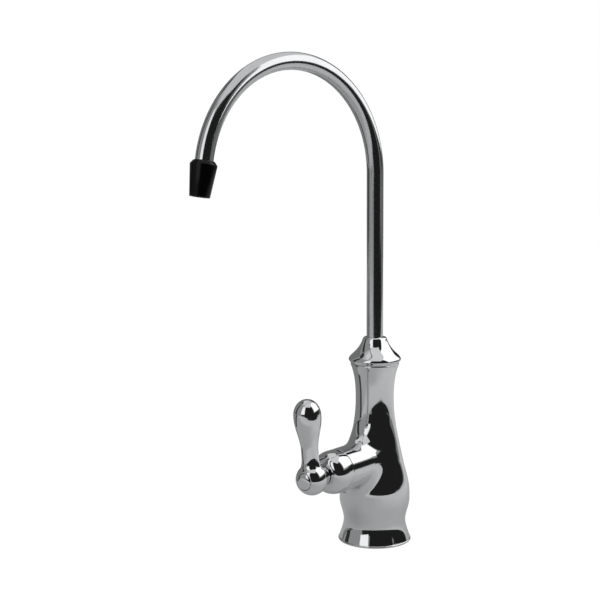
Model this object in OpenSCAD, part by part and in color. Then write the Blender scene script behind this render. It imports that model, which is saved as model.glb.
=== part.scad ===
// Drinking water filter tap: cast body with a side valve, swivel gooseneck spout and teardrop lever.
// The origin is the centre of the flange's underside, +Z is up and the spout reaches along -Y.

/* [Body] */
// Diameter of the flange that stands on the worktop
flange_d = 44.6; // [42:0.2:56]
// Height of the flange's rounded rim
flange_rim = 1.4; // [1.2:0.1:4]
// Diameter of the waist just above the flange
waist_d = 37.9; // [35:0.1:41]
// Height of the waist
waist_z = 12.8; // [10:0.2:17]
// Diameter of the belly
belly_d = 43; // [39:0.2:48]
// Height of the belly
belly_z = 26; // [22:0.5:34]
// Height of the straight band round the belly
belly_band = 3.6; // [2:0.2:6]
// Diameter of the body level with the valve branch
shoulder_d = 34.6; // [31:0.2:38]
// Diameter of the slim neck
neck_d = 23.2; // [21.4:0.2:28]
// Height of the neck
neck_z = 87.5; // [82:0.5:93]
// Diameter of the body's upper edge
crown_d = 29.4; // [27:0.2:34]
// Height of the body's upper edge
body_h = 109.6; // [106:0.2:118]
// Wall of the hollow casting under the belly
casting_wall = 4; // [3:0.1:5]
// Height of the hollow under the belly
hollow_h = 30; // [18:1:33]

/* [Valve branch] */
// Height of the branch axis above the worktop
branch_z = 50.6; // [48:0.2:56]
// Turn of the branch from the spout's rest direction
branch_turn = 10; // [-60:1:60]
// Distance from the tap axis to the end of the branch
branch_len = 38.4; // [36:0.2:46]
// Diameter of the branch
branch_d = 25.8; // [25.6:0.1:30]
// Diameter of the branch's swollen root
branch_root_d = 31.4; // [29:0.2:32]
// Length of the sweep from the root to the straight branch
branch_sweep = 17; // [14:0.5:24]

/* [Water ways] */
// Bore that takes the threaded tail under the worktop
inlet_d = 14; // [12:0.5:15]
// Depth of that bore
inlet_depth = 13; // [8:0.5:16]
// Wall of the boss round the inlet bore
inlet_wall = 3; // [2:0.2:4]
// Bore of the upright water ways
water_d = 7; // [6.4:0.2:8]
// Bore of the cross drillings to and from the valve
port_d = 6; // [4:0.2:6]

/* [Spout] */
// Outer diameter of the spout tube
tube_d = 10; // [8:0.2:12]
// Wall of the spout tube
tube_wall = 1; // [0.6:0.1:1.5]
// Height of the straight leg above the body
leg_h = 114.8; // [70:1:160]
// Centre line radius of the gooseneck bend
bend_r = 64.2; // [40:0.2:90]
// Angle that the gooseneck turns through
bend_angle = 170; // [130:1:180]
// Straight tube between the bend and the nozzle
tip_len = 1.2; // [1:0.2:20]

/* [Spout bearing] */
// Wall of the spigot round the tube
spigot_wall = 2.2; // [2:0.1:2.4]
// Length of the spigot below its flange
spigot_len = 14; // [11:0.5:18]
// Overhang of the spigot's flange
spigot_lip = 2; // [1.5:0.1:2.2]
// Height of the spigot's flange
spigot_flange = 2.4; // [1.6:0.1:3]
// Thickness of the two thrust washers
washer_t = 1; // [0.6:0.1:1.4]
// Depth of the counterbore under the spout cap
cap_socket_depth = 10; // [8.5:0.1:11]

/* [Spout cap] */
// Greatest diameter of the conical cap
cap_d = 31.8; // [30:0.2:38]
// Height of the cap's flared lower edge
cap_edge = 2.6; // [1.5:0.1:4]
// Full height of the cap
cap_h = 16.4; // [13.6:0.2:24]
// Diameter of the cap halfway up its cone
cap_cone_d = 23.6; // [20:0.2:28]
// Diameter of the rounded collar at the cap's top
cap_top_d = 14.6; // [13.8:0.1:16]

/* [Nozzle] */
// Diameter of the nozzle's shoulder
nozzle_d = 14.9; // [13.6:0.1:18]
// Diameter of the nozzle's outlet end
nozzle_end_d = 11.2; // [10.6:0.1:13]
// Height of the bevel above the shoulder
nozzle_bevel = 2.1; // [1:0.1:4]
// Length of the nozzle below the shoulder
nozzle_len = 17.4; // [15.5:0.1:26]
// Depth that the tube enters the nozzle
nozzle_grip = 8; // [5:0.2:9]
// Diameter of the outlet's mouth below the straightener
outlet_d = 9; // [8.6:0.1:9.4]
// Length of the flow straightener
straightener_len = 4; // [2.5:0.1:5]

/* [Valve cartridge] */
// Bore of the valve chamber in the branch
chamber_d = 20; // [19.6:0.1:21]
// Depth of the valve chamber
chamber_depth = 24.4; // [23.4:0.1:25]
// Diameter of the two ceramic discs
disc_d = 16; // [14.6:0.1:16.2]
// Thickness of each ceramic disc
disc_t = 3; // [2.4:0.1:3.3]
// Thickness of the seal behind the discs
seal_t = 1.8; // [1.4:0.1:2.2]
// Diameter of the spindle
spindle_d = 8; // [7.6:0.1:8.6]
// Thickness of the spindle's driver and thrust collars
collar_t = 2.5; // [1.8:0.1:2.8]
// Length of the windows in the cartridge wall
window_len = 4; // [2.5:0.1:4.4]
// Thickness of the cartridge's flange
cartridge_flange = 2.5; // [1.8:0.1:3]
// Wall of the cartridge's nose round the spindle
nose_wall = 2.4; // [1.8:0.1:2.5]

/* [Bonnet] */
// Length of the bonnet from the branch to its mouth
bonnet_len = 13.2; // [12.6:0.1:18]
// Straight length of the bonnet before its dome
bonnet_straight = 3.6; // [3.3:0.1:5]
// Diameter of the bonnet's mouth
bonnet_mouth_d = 13; // [12:0.1:14]

/* [Lever] */
// Diameter of the ball hub
hub_d = 18.6; // [18:0.1:22]
// Distance from the bonnet's mouth to the ball's centre
hub_reach = 10.9; // [10:0.1:14]
// Diameter of the neck between ball and bonnet
hub_neck_d = 11; // [10.6:0.1:12]
// Diameter of the round plug in the ball's end
plug_d = 10; // [9:0.1:12]
// Diameter of the lever's stem above the ball
lever_stem_d = 10; // [8:0.1:11]
// Height of the stem's foot above the hub axis, where its root fillet ends
lever_stem_h = 13.5; // [11:0.5:16]
// Length of the stem's even part
lever_stem_band = 4; // [1:0.5:8]
// Diameter of the lever's rounded head
lever_head_d = 16.2; // [13:0.1:20]
// Height of the head's widest point above the hub axis
lever_head_h = 36.4; // [32:0.2:41]
// Full height of the lever above the hub axis
lever_h = 47; // [44:0.2:60]
// Lean of the lever away from the body
lever_lean = 1.6; // [0:0.2:12]
// Sideways lean of the closed lever
lever_side = 3.4; // [0:0.2:8]

/* [Clearances] */
// Radial running gap of the spigot and the spindle
running_gap = 0.05; // [0.02:0.01:0.09]
// Radial gap of threaded and pressed pieces
press_gap = 0.05; // [0.02:0.01:0.1]
// Gap between faces that slide on each other
face_gap = 0.05; // [0.03:0.01:0.1]
// Air gap round moving pieces
air_gap = 0.4; // [0.3:0.05:0.6]

/* [Hidden] */
$fn = 64;
eps = 0.01;

// Colours of the finishes
chrome = [0.74, 0.75, 0.77];
raw_brass = [0.80, 0.66, 0.34];
black_plastic = [0.07, 0.07, 0.08];
rubber_black = [0.12, 0.12, 0.13];
white_plastic = [0.90, 0.90, 0.88];
ceramic_white = [0.95, 0.95, 0.93];
steel = [0.62, 0.63, 0.65];

// Body outline: steps of each curve, slopes of the straight stretches and the rubber ring under the flange
curve_steps = 7;
flange_slope = -0.33;
shoulder_slope = -0.213;
crown_slope = 0.4;
gasket_w = 3.2;
gasket_t = 1.4;
gasket_inset = 1.9;

// Spout bearing, from the counterbore's floor upwards
tube_id = tube_d - 2 * tube_wall;
spigot_bore_d = tube_d + 2 * press_gap;
spigot_d = spigot_bore_d + 2 * spigot_wall;
spigot_flange_d = spigot_d + 2 * spigot_lip;
spout_bore_d = spigot_d + 2 * running_gap;
cap_socket_d = spigot_flange_d + 2 * air_gap;
washer_d = cap_socket_d - 2 * press_gap;
cap_socket_z = body_h - cap_socket_depth;
flange_z = cap_socket_z + washer_t + face_gap;
upper_washer_z = flange_z + spigot_flange + face_gap;
skirt_z = upper_washer_z + washer_t;
spigot_z = flange_z - spigot_len;
spigot_end_gap = 0.5;
spigot_seat_h = 5;
spigot_top_z = body_h - 1;
spout_bore_z = spigot_z - spigot_end_gap;
sleeve_d = spigot_bore_d + 2.4;
tube_z = spigot_z + spigot_seat_h;
braze_w = 0.4;
braze_h = 0.01;
bend_z = body_h + leg_h;

// Nozzle stations along the flow, from the end of the bend
grip_z = tip_len + nozzle_grip;
nozzle_lip = 1.5;
nozzle_edge = 0.4;
nozzle_top = 0.75;
shoulder_z = tip_len + nozzle_bevel;
nozzle_end_z = shoulder_z + nozzle_len;
straightener_z = grip_z + nozzle_lip;
mouth_z = straightener_z + straightener_len;
straightener_d = tube_d - 1.6;
straightener_holes = 6;
straightener_hole_d = 1.7;
straightener_pitch = straightener_d * 0.29;

// Grooves for the rubber rings, cut into spigot, spindle and cartridge
groove_w = 1.9;
groove_depth = 1.2;
ring_d = groove_depth - 0.04;
lower_groove_z = spigot_z + 3.2;
upper_groove_z = spigot_z + 8.4;

// Cap outline
cap_lip_d = crown_d + 0.4;
cap_cone_z = 7.6;
cap_cone_slope = -0.95;
cap_round_r = 1.5;
cap_round_a = 18;
cap_round_z = cap_h - cap_round_r;

// Cartridge stations, as distances from the tap axis along the branch
seat_s = branch_len - chamber_depth;
housing_d = chamber_d - 2 * press_gap;
disc_bore_d = disc_d + 2 * press_gap;
housing_s = seat_s + 0.3;
fixed_disc_s = seat_s + seal_t;
moving_disc_s = fixed_disc_s + disc_t + face_gap;
driver_s = moving_disc_s + disc_t;
window_s = driver_s + collar_t;
collar_s = window_s + window_len;
spindle_washer_t = 0.8;
spindle_washer_s = collar_s + collar_t;
thrust_s = spindle_washer_s + spindle_washer_t + face_gap;
flange_end_s = branch_len + cartridge_flange;
cartridge_flange_d = branch_d - 2.4;
nose_bore_d = spindle_d + 2 * running_gap;
nose_d = nose_bore_d + 2 * nose_wall;
clip_t = 0.9;
clip_d = nose_d - 1.4;
mouth_t = 3;
mouth_s = branch_len + bonnet_len;
clip_cavity_s = mouth_s - mouth_t;
nose_end_s = clip_cavity_s - air_gap - clip_t - face_gap;
clip_s = nose_end_s + face_gap;
collar_d = disc_d - 2 * air_gap;
core_d = spindle_d + 1;
relief_d = disc_bore_d + 1.6;
relief_s = housing_s + 2.2;
relief_end_s = collar_s + 1.6;
housing_groove_s = branch_len - 3.6;
spindle_groove_s = flange_end_s + 1.2;
port_inner_d = 4.4;
port_outer_d = disc_d - 3.4;
port_angle = 80;
tang_w = 4;
tang_t = 1.1;
tang_len = disc_d * 0.62;

// Hub and lever stations along the branch
hub_s = mouth_s + hub_reach;
hub_neck_s = mouth_s + air_gap;
hub_face_s = hub_s + sqrt(pow(hub_d / 2, 2) - pow(plug_d / 2 + 0.5, 2));
plug_t = 1.6;
plug_dome = 1.2;
plug_s = hub_face_s - plug_t;
screw_d = 4;
screw_head_d = 7;
screw_head_t = 2.2;
screw_len = 8;
screw_head_s = plug_s - screw_head_t - 0.2;
hub_web = 1.8;
spindle_end_s = screw_head_s - hub_web - 0.2;
spindle_flat = 0.8;
lever_root_d = lever_stem_d + 2.2;
lever_root_h = sqrt(pow(hub_d / 2, 2) - pow(lever_root_d / 2, 2)) - 0.12;
lever_head_band = 1.2;

// Place of the branch's thickest point, at the skin of the body
branch_root_s = 9;

// Outlet water way: an oblique drilling from the neck's bore into the chamber
outlet_way_z = branch_z + 19;
outlet_way_s = seat_s + 3.5;
outlet_way_end_z = branch_z + chamber_d / 2 - 2.5;
way_end = port_d / 2 + 1;

// Points of a smooth curve of radius over height, with the slope given at both ends
function curve(z0, r0, m0, z1, r1, m1, n = curve_steps) = [
  for (i = [0 : n])
    let (t = i / n, h = z1 - z0)
      [
        r0 * (2 * pow(t, 3) - 3 * pow(t, 2) + 1) + m0 * h * (pow(t, 3) - 2 * pow(t, 2) + t)
          + r1 * (3 * pow(t, 2) - 2 * pow(t, 3)) + m1 * h * (pow(t, 3) - pow(t, 2)),
        z0 + t * h
      ]
];

// Points of a quarter ellipse from radius r0 at height z0 to radius r1 at height z1
function dome(z0, r0, z1, r1, n = curve_steps) = [
  for (i = [0 : n])
    let (a = 90 * i / n)
      [r1 + (r0 - r1) * cos(a), z0 + (z1 - z0) * sin(a)]
];

// A list of outline points without the repeated ones where two curves meet
function joined(p) = [for (i = [0 : len(p) - 1]) if (i == 0 || norm(p[i] - p[i - 1]) > eps) p[i]];

module revolve(points) rotate_extrude() polygon(joined(points));

module disc(d, z0, z1) translate([0, 0, z0]) cylinder(d = d, h = z1 - z0);

module ring(d_out, d_in, z0, z1) difference() {
  disc(d_out, z0, z1);
  disc(d_in, z0 - eps, z1 + eps);
}

module rubber_ring(d_out, z) rotate_extrude() translate([(d_out - ring_d) / 2, z]) circle(d = ring_d);

module groove(d, z) ring(d + 1, d - 2 * groove_depth, z - groove_w / 2, z + groove_w / 2);

// Two opposite ports of a ceramic disc, seen along its axis
module ports(turn, z0, z1)
  for (a = [turn, turn + 180])
    translate([0, 0, z0])
      rotate([0, 0, a - port_angle / 2])
        rotate_extrude(angle = port_angle)
          translate([port_inner_d / 2, 0])
            square([(port_outer_d - port_inner_d) / 2, z1 - z0]);

// Local frames: the branch axis with local Y up, and the end of the gooseneck with local Z along the flow
module on_branch() translate([0, 0, branch_z]) rotate([0, 0, branch_turn]) rotate([90, 0, 0]) children();

module at_spout_end()
  translate([0, -bend_r * (1 - cos(bend_angle)), bend_z + bend_r * sin(bend_angle)])
    rotate([bend_angle, 0, 0])
      children();

// Outer form of the cast body, turned about the tap axis
module body_form() {
  rim_r = flange_rim / 2;
  revolve(concat(
    [[0, 0], [flange_d / 2 - rim_r, 0]],
    [for (a = [-75 : 15 : 60]) [flange_d / 2 - rim_r + rim_r * cos(a), rim_r + rim_r * sin(a)]],
    curve(flange_rim, flange_d / 2 - rim_r * 0.6, flange_slope, waist_z, waist_d / 2, 0),
    curve(waist_z, waist_d / 2, 0, belly_z, belly_d / 2, 0),
    curve(belly_z + belly_band, belly_d / 2, 0, branch_z, shoulder_d / 2, shoulder_slope),
    curve(branch_z, shoulder_d / 2, shoulder_slope, neck_z, neck_d / 2, 0),
    curve(neck_z, neck_d / 2, 0, body_h, crown_d / 2, crown_slope),
    [[0, body_h]]
  ));
}

// Branch with its cast root: a revolve that swells smoothly towards the body
module branch_form() on_branch() rotate([0, 0, 90])
  revolve(concat(
    [[0, 0]],
    curve(0, branch_d / 2, 0.4, branch_root_s, branch_root_d / 2, 0, 4),
    curve(branch_root_s, branch_root_d / 2, 0, branch_root_s + branch_sweep, branch_d / 2, 0, 8),
    [[branch_d / 2, branch_len], [0, branch_len]]
  ));

module body() color(chrome) difference() {
  union() {
    body_form();
    branch_form();
  }
  // Hollow of the casting round the inlet boss, and the seat of the rubber ring
  ring(waist_d - 2 * casting_wall, inlet_d + 2 * inlet_wall, -eps, hollow_h);
  ring(flange_d - 2 * gasket_inset, flange_d - 2 * gasket_inset - 2 * gasket_w, -eps, gasket_t);
  // Inlet and the way up to the valve seat
  disc(inlet_d, -eps, inlet_depth);
  disc(water_d, inlet_depth - eps, branch_z + way_end);
  on_branch() disc(port_d, 0, seat_s + eps);
  // Valve chamber and the outlet way from it to the spout
  on_branch() disc(chamber_d, seat_s, branch_len + eps);
  outlet_way();
  disc(water_d, outlet_way_z - way_end, spout_bore_z + eps);
  // Bearing of the spout and the socket of its cap
  disc(spout_bore_d, spout_bore_z, body_h + eps);
  disc(cap_socket_d, cap_socket_z, body_h + eps);
}

module outlet_way() {
  drop = outlet_way_z - outlet_way_end_z;
  translate([0, 0, outlet_way_z])
    rotate([0, 0, branch_turn])
      rotate([180 - atan2(outlet_way_s, drop), 0, 0])
        cylinder(d = port_d, h = norm([outlet_way_s, drop]));
}

module base_gasket() color(rubber_black)
  ring(
    flange_d - 2 * gasket_inset - 2 * press_gap,
    flange_d - 2 * gasket_inset - 2 * gasket_w + 2 * press_gap,
    0,
    gasket_t
  );

module spout_cap() color(chrome) difference() {
  union() {
    translate([0, 0, body_h])
      revolve(concat(
        [[0, 0]],
        curve(0, cap_lip_d / 2, 0.2, cap_edge, cap_d / 2, 0.3, 3),
        curve(cap_edge, cap_d / 2, -0.1, cap_cone_z, cap_cone_d / 2, cap_cone_slope),
        curve(
          cap_cone_z, cap_cone_d / 2, cap_cone_slope,
          cap_round_z + cap_round_r * sin(cap_round_a), cap_top_d / 2 - cap_round_r * (1 - cos(cap_round_a)),
          -tan(cap_round_a)
        ),
        [
          for (a = [cap_round_a : 12 : 90])
            [cap_top_d / 2 - cap_round_r * (1 - cos(a)), cap_round_z + cap_round_r * sin(a)]
        ],
        [[0, cap_h]]
      ));
    disc(cap_socket_d - 2 * press_gap, skirt_z, body_h + eps);
  }
  disc(sleeve_d + 2 * air_gap, skirt_z - eps, spigot_top_z + air_gap);
  disc(tube_d + 2 * air_gap, skirt_z - eps, body_h + cap_h + eps);
}

module lower_thrust_washer() color(white_plastic)
  ring(washer_d, spigot_d + 2 * air_gap, cap_socket_z, cap_socket_z + washer_t);

module upper_thrust_washer() color(white_plastic)
  ring(washer_d, sleeve_d + 2 * air_gap, upper_washer_z, upper_washer_z + washer_t);

// Bonnet that covers the cartridge: a straight band and a dome with a recessed mouth
module bonnet() color(chrome) on_branch() difference() {
  revolve(concat(
    [[0, branch_len], [branch_d / 2, branch_len]],
    dome(branch_len + bonnet_straight, branch_d / 2, mouth_s, bonnet_mouth_d / 2, 10),
    [[0, mouth_s]]
  ));
  disc(cartridge_flange_d + 2 * press_gap, branch_len - eps, flange_end_s + face_gap);
  disc(nose_d + 2 * press_gap, branch_len - eps, clip_cavity_s);
  disc(spindle_d + 2 * air_gap, branch_len - eps, mouth_s + eps);
}

module cartridge_housing() color(raw_brass) on_branch() difference() {
  union() {
    disc(housing_d, housing_s, branch_len + eps);
    disc(cartridge_flange_d, branch_len, flange_end_s);
    disc(nose_d, branch_len, nose_end_s);
  }
  disc(disc_bore_d, housing_s - eps, thrust_s);
  disc(nose_bore_d, thrust_s - eps, nose_end_s + eps);
  ring(housing_d + 1, relief_d, relief_s, relief_end_s);
  groove(housing_d, housing_groove_s);
  // Side windows that let the water out of the cartridge
  for (a = [45 : 90 : 315])
    rotate([0, 0, a])
      translate([0, 0, window_s + window_len / 2])
        rotate([0, 90, 0])
          cylinder(d = window_len - 0.6, h = housing_d);
}

module housing_o_ring() color(rubber_black) on_branch() rubber_ring(housing_d, housing_groove_s);

module cartridge_seal() color(rubber_black) on_branch()
  ring(disc_d, port_outer_d + 0.6, seat_s, fixed_disc_s);

module fixed_disc() color(ceramic_white) on_branch() difference() {
  disc(disc_d, fixed_disc_s, fixed_disc_s + disc_t);
  ports(0, fixed_disc_s - eps, fixed_disc_s + disc_t + eps);
}

module moving_disc() color(ceramic_white) on_branch() difference() {
  disc(disc_d - 2 * air_gap, moving_disc_s, driver_s);
  ports(90, moving_disc_s - eps, driver_s + eps);
  translate([-tang_len / 2 - press_gap, -tang_w / 2 - press_gap, driver_s - tang_t - press_gap])
    cube([tang_len + 2 * press_gap, tang_w + 2 * press_gap, tang_t + 1]);
}

// Spindle: driver with its tang, thrust collar and a stem with two flats for the lever
module spindle() color(raw_brass) on_branch() difference() {
  union() {
    translate([-tang_len / 2, -tang_w / 2, driver_s - tang_t])
      cube([tang_len, tang_w, tang_t + 1]);
    disc(collar_d, driver_s, window_s);
    disc(core_d, window_s - eps, collar_s + eps);
    disc(collar_d, collar_s, spindle_washer_s);
    disc(spindle_d, spindle_washer_s - eps, spindle_end_s);
  }
  ports(90, driver_s - eps, window_s + eps);
  groove(spindle_d, spindle_groove_s);
  ring(spindle_d + 1, spindle_d - groove_depth, clip_s, clip_s + clip_t + face_gap);
  disc(screw_d, spindle_end_s - screw_len, spindle_end_s + eps);
  spindle_flats(hub_neck_s, 0);
}

// Flats on the outer end of the spindle, shared by the hub's bore with a gap
module spindle_flats(start_s, gap)
  for (side = [-1, 1])
    translate([-spindle_d, side * (spindle_d - spindle_flat + gap) - spindle_d / 2, start_s])
      cube([2 * spindle_d, spindle_d, spindle_end_s]);

module spindle_o_ring() color(rubber_black) on_branch() rubber_ring(spindle_d, spindle_groove_s);

module spindle_clip() color(steel) on_branch() difference() {
  ring(clip_d, spindle_d - groove_depth + 2 * press_gap, clip_s, clip_s + clip_t);
  translate([-spindle_d * 0.3, 0, clip_s - eps]) cube([spindle_d * 0.6, clip_d, clip_t + 1]);
}

module spindle_washer() color(white_plastic) on_branch()
  ring(collar_d, spindle_d + 2 * press_gap, spindle_washer_s, spindle_washer_s + spindle_washer_t);

// Lever: ball hub with a short neck, and a teardrop handle that leans away from the body
module lever() color(chrome) on_branch() difference() {
  union() {
    intersection() {
      translate([0, 0, hub_s]) sphere(d = hub_d);
      disc(hub_d + 1, hub_neck_s, hub_face_s);
    }
    disc(hub_neck_d, hub_neck_s, hub_s);
    translate([0, 0, hub_s])
      rotate([lever_lean - 90, 0, lever_side])
        revolve(concat(
          [[0, 0], [lever_root_d / 2, 0]],
          curve(lever_root_h, lever_root_d / 2, -0.4, lever_stem_h, lever_stem_d / 2, 0),
          curve(lever_stem_h + lever_stem_band, lever_stem_d / 2, 0, lever_head_h, lever_head_d / 2, 0, 10),
          dome(lever_head_h + lever_head_band, lever_head_d / 2, lever_h, 0, 10)
        ));
  }
  difference() {
    disc(spindle_d + 2 * press_gap, hub_neck_s - eps, spindle_end_s + 0.2);
    spindle_flats(hub_neck_s, press_gap);
  }
  disc(screw_d + 2 * air_gap, spindle_end_s, screw_head_s + eps);
  disc(screw_head_d + 2 * air_gap, screw_head_s, plug_s + eps);
  disc(plug_d + 2 * press_gap, plug_s, hub_face_s + hub_d);
}

module handle_screw() color(steel) on_branch() difference() {
  union() {
    disc(screw_d - 2 * press_gap, screw_head_s - screw_len, screw_head_s + eps);
    disc(screw_head_d, screw_head_s, screw_head_s + screw_head_t);
  }
  translate([0, 0, screw_head_s + screw_head_t / 2]) cylinder(d = 3.4, h = screw_head_t, $fn = 6);
}

module hub_plug() color(chrome) on_branch()
  revolve(concat(
    [[0, plug_s], [plug_d / 2, plug_s]],
    dome(hub_face_s, plug_d / 2, hub_face_s + plug_dome, 0, 5)
  ));

// Spigot that turns in the body: a stem with two ring grooves, a thrust flange and a sleeve for the tube
module spout_spigot() color(raw_brass) difference() {
  union() {
    disc(spigot_d, spigot_z, flange_z + eps);
    disc(spigot_flange_d, flange_z, flange_z + spigot_flange);
    disc(sleeve_d, flange_z, spigot_top_z);
  }
  disc(spigot_bore_d, tube_z, spigot_top_z + eps);
  disc(tube_id, spigot_z - eps, tube_z + eps);
  groove(spigot_d, lower_groove_z);
  groove(spigot_d, upper_groove_z);
}

module lower_spigot_o_ring() color(rubber_black) rubber_ring(spigot_d, lower_groove_z);

module upper_spigot_o_ring() color(rubber_black) rubber_ring(spigot_d, upper_groove_z);

// Spout: a straight leg, the gooseneck bend and a short straight end, all with one tube section
module tube_section() difference() {
  circle(d = tube_d);
  circle(d = tube_id);
}

module spout_tube() color(chrome) {
  translate([0, 0, tube_z]) linear_extrude(bend_z - tube_z) tube_section();
  translate([0, -bend_r, bend_z])
    rotate([90, 0, 90])
      rotate_extrude(angle = bend_angle)
        translate([bend_r, 0])
          tube_section();
  at_spout_end() linear_extrude(tip_len + nozzle_grip) tube_section();
  at_spout_end() braze_band();
  translate([0, 0, bend_z]) braze_band();
}

// Thin band of braze round each end of the bend
module braze_band() ring(tube_d + 2 * braze_h, tube_d - tube_wall, -braze_w / 2, braze_w / 2);

// Black nozzle on the tube's end: bevelled shoulder, tapered skirt, seat of the straightener and wide mouth
module outlet_nozzle() color(black_plastic) at_spout_end() difference() {
  revolve([
    [0, tip_len],
    [tube_d / 2 + nozzle_top, tip_len],
    [nozzle_d / 2 - nozzle_edge, shoulder_z - nozzle_edge],
    [nozzle_d / 2, shoulder_z],
    [nozzle_end_d / 2, nozzle_end_z - nozzle_edge],
    [nozzle_end_d / 2 - nozzle_edge, nozzle_end_z],
    [0, nozzle_end_z]
  ]);
  disc(tube_d + 2 * press_gap, tip_len - eps, grip_z);
  disc(tube_id, grip_z - eps, straightener_z + eps);
  disc(straightener_d + 2 * press_gap, straightener_z, mouth_z + eps);
  disc(outlet_d, mouth_z, nozzle_end_z + eps);
}

module flow_straightener() color(white_plastic) at_spout_end() difference() {
  disc(straightener_d, straightener_z, mouth_z);
  for (i = [0 : straightener_holes])
    rotate([0, 0, i * 360 / straightener_holes])
      translate([i == straightener_holes ? 0 : straightener_pitch, 0, 0])
        disc(straightener_hole_d, straightener_z - eps, mouth_z + eps);
}

body();
base_gasket();
spout_cap();
lower_thrust_washer();
upper_thrust_washer();
bonnet();
cartridge_housing();
housing_o_ring();
cartridge_seal();
fixed_disc();
spout_spigot();
lower_spigot_o_ring();
upper_spigot_o_ring();
spout_tube();
outlet_nozzle();
flow_straightener();
spindle();
spindle_o_ring();
spindle_clip();
moving_disc();
spindle_washer();
lever();
handle_screw();
hub_plug();
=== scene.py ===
# %% [markdown]
# # A drinking water filter tap
# The tap stands on a worktop: a chrome-plated cast body with a side valve, a ball-and-teardrop lever, a conical cap
# and a slim gooseneck tube that ends in a black nozzle. The solid model is loaded first and never moved. The pieces
# that can be seen are then modelled again with finer curves in the same place, because polished metal shows every
# facet. Lengths on the tap are in millimetres, scaled to metres when a mesh is made, and those of the studio in metres.

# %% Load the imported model
import math

import bmesh
import bpy
import numpy as np
from mathutils import Matrix, Vector


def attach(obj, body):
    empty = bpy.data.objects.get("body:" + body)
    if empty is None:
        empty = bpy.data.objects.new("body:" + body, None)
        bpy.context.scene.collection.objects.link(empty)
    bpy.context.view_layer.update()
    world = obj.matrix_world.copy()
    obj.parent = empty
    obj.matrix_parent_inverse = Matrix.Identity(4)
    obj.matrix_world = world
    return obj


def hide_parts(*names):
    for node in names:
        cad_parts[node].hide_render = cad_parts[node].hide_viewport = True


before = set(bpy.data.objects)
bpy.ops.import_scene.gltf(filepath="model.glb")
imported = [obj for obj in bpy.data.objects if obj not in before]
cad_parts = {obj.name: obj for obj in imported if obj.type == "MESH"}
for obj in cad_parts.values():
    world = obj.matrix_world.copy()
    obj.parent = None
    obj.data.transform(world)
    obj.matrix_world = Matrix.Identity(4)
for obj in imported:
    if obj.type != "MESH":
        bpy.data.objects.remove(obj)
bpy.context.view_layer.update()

# %% [markdown]
# ## Camera
# The photograph looks a little down at the tap, with the spout to the left. The camera could be placed by eye, but
# its place, aim and focal length were worked out from the outline, so that each shape can be laid over the picture.

# %% Camera
CAMERA_PLACE = Vector((0.55638, -0.55027, 0.24930))
CAMERA_YAW = math.radians(48.63)
CAMERA_PITCH = math.radians(7.35)
CAMERA_ROLL = math.radians(-0.31)

camera_data = bpy.data.cameras.new("studio_camera")
camera_data.sensor_width = 36
camera_data.lens = 78.24
camera = bpy.data.objects.new("studio_camera", camera_data)
camera.matrix_world = (
    Matrix.Translation(CAMERA_PLACE)
    @ Matrix.Rotation(CAMERA_YAW, 4, "Z")
    @ Matrix.Rotation(math.pi / 2 - CAMERA_PITCH, 4, "X")
    @ Matrix.Rotation(CAMERA_ROLL, 4, "Z")
)
bpy.context.collection.objects.link(camera)
bpy.context.scene.camera = camera
bpy.context.scene.view_settings.view_transform = "Standard"
print("camera", [round(v, 3) for v in camera.location], "lens", camera_data.lens)

# %% [markdown]
# ## Outlines
# Nearly every piece of a tap is turned on a lathe or cast from a turned pattern, so its shape is one outline spun
# round an axis. Ready-made cylinders and spheres could be joined instead, but their seams would show in the polish.
# An outline is a short list of (radius, height) points. Three helpers give the flowing stretches: a curve with a
# chosen slope at both ends, a quarter ellipse for domes, and a part of a circle for rounded rims.

# %% Outline helpers
WELD = 1e-4


def curve(z0, r0, m0, z1, r1, m1, n):
    """Smooth radius over height, with slopes m0 and m1 at the ends."""
    points = []
    for i in range(n + 1):
        t, h = i / n, z1 - z0
        radius = (
            r0 * (2 * t**3 - 3 * t**2 + 1)
            + m0 * h * (t**3 - 2 * t**2 + t)
            + r1 * (3 * t**2 - 2 * t**3)
            + m1 * h * (t**3 - t**2)
        )
        points.append((radius, z0 + t * h))
    return points


def dome(z0, r0, z1, r1, n):
    """Quarter ellipse from radius r0 at height z0 to radius r1 at height z1."""
    turns = [math.pi / 2 * i / n for i in range(n + 1)]
    return [(r1 + (r0 - r1) * math.cos(a), z0 + (z1 - z0) * math.sin(a)) for a in turns]


def arc(r, z, radius, degrees):
    """Part of a circle round the point (r, z), at the given angles."""
    return [(r + radius * math.cos(a), z + radius * math.sin(a)) for a in np.radians(degrees)]


def joined(points):
    """The same outline without repeated points."""
    kept = [points[0]]
    for point in points[1:]:
        if math.dist(point, kept[-1]) > WELD:
            kept.append(point)
    return kept


print("a small dome", [(round(r, 2), round(z, 2)) for r, z in dome(0, 2, 1, 0, 3)])

# %% Lathe helpers
MM = 0.001
SHARP_FROM = math.radians(40)


def turn(bm, points, steps, closed):
    """Spin an outline once round the Z axis, like work on a lathe."""
    verts = [bm.verts.new((r, 0, z)) for r, z in joined(points)]
    pairs = list(zip(verts, verts[1:])) + ([(verts[-1], verts[0])] if closed else [])
    edges = [bm.edges.new(pair) for pair in pairs]
    bmesh.ops.spin(bm, geom=verts + edges, cent=(0, 0, 0), axis=(0, 0, 1), angle=2 * math.pi, steps=steps,
                   use_merge=True, use_normal_flip=False, use_duplicate=False)
    bmesh.ops.remove_doubles(bm, verts=bm.verts[:], dist=WELD)


def soften(bm, width, segments, angle=30):
    """Round every edge that is sharper than the angle."""
    sharp = [e for e in bm.edges if len(e.link_faces) == 2 and e.calc_face_angle(0) > math.radians(angle)]
    bmesh.ops.bevel(bm, geom=sharp, offset=width, offset_type="OFFSET", segments=segments, profile=0.5,
                    affect="EDGES", clamp_overlap=True, material=-1)


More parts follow.
